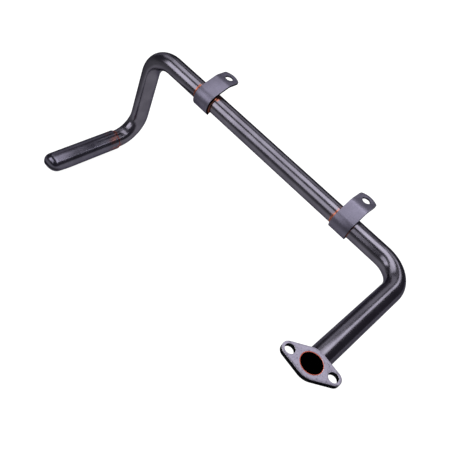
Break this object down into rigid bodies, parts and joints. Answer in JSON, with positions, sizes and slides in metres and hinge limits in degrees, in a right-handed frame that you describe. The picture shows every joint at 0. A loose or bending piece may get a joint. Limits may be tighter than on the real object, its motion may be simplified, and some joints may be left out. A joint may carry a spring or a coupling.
{
  "type": "oil pickup tube",
  "caption": "Bent steel suction tube with an oval bolt-on outlet flange, brazed strap brackets along its run and a closed foot with a strainer in its flat underside, for an engine sump.",
  "frame": {"origin": "centre of the outlet hole, on the flange's gasket face", "axes": "+Z out of the gasket face, -X along the main run towards the riser, +Y along the outlet pipe away from the flange"},
  "size_m": [0.5013, 0.2614, 0.1936],
  "materials": {
    "tube_steel": "dark satin oxide",
    "plate_steel": "satin",
    "braze_copper": "as brazed"
  },
  "bodies": {
    "root": {"pickup_tube": "tube_steel", "mounting_flange": "plate_steel", "inlet_foot": "tube_steel", "flange_side_bracket": "plate_steel", "inlet_side_bracket": "plate_steel", "flange_braze": "braze_copper", "foot_braze": "braze_copper", "flange_side_bracket_braze": "braze_copper", "inlet_side_bracket_braze": "braze_copper"}
  },
  "joints": []
}
